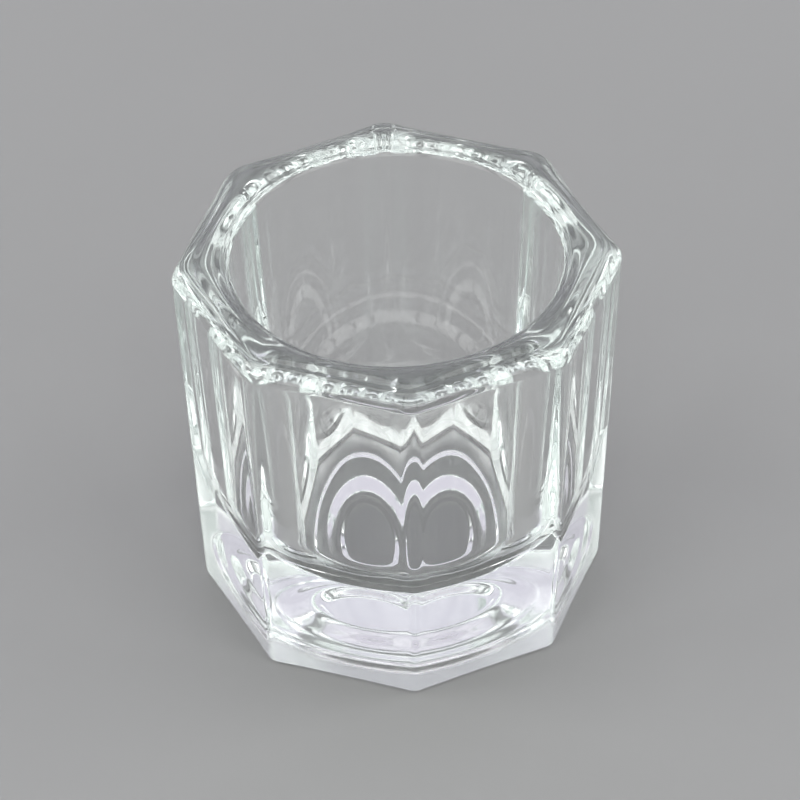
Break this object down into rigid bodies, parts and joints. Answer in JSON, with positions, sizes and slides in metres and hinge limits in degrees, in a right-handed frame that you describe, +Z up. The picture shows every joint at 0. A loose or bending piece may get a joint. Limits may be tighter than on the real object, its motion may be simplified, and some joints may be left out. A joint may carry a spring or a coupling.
{
  "type": "glass dappen dish",
  "caption": "Small thick-walled clear glass dish with a tapered octagonal outside, a round well for nail liquid or powder, a rounded rim and a grooved recess underneath.",
  "frame": {"origin": "centre of the resting face, on the axis of the well", "axes": "+Z up along the axis of the well; the corners of the octagon point along +X, -X, +Y and -Y"},
  "size_m": [0.0328, 0.0328, 0.03],
  "materials": {
    "clear_glass": "clear pressed glass with a faint green tint where it is thick, fire-polished rim"
  },
  "bodies": {
    "root": {"glass_dish": "clear_glass"}
  },
  "joints": []
}
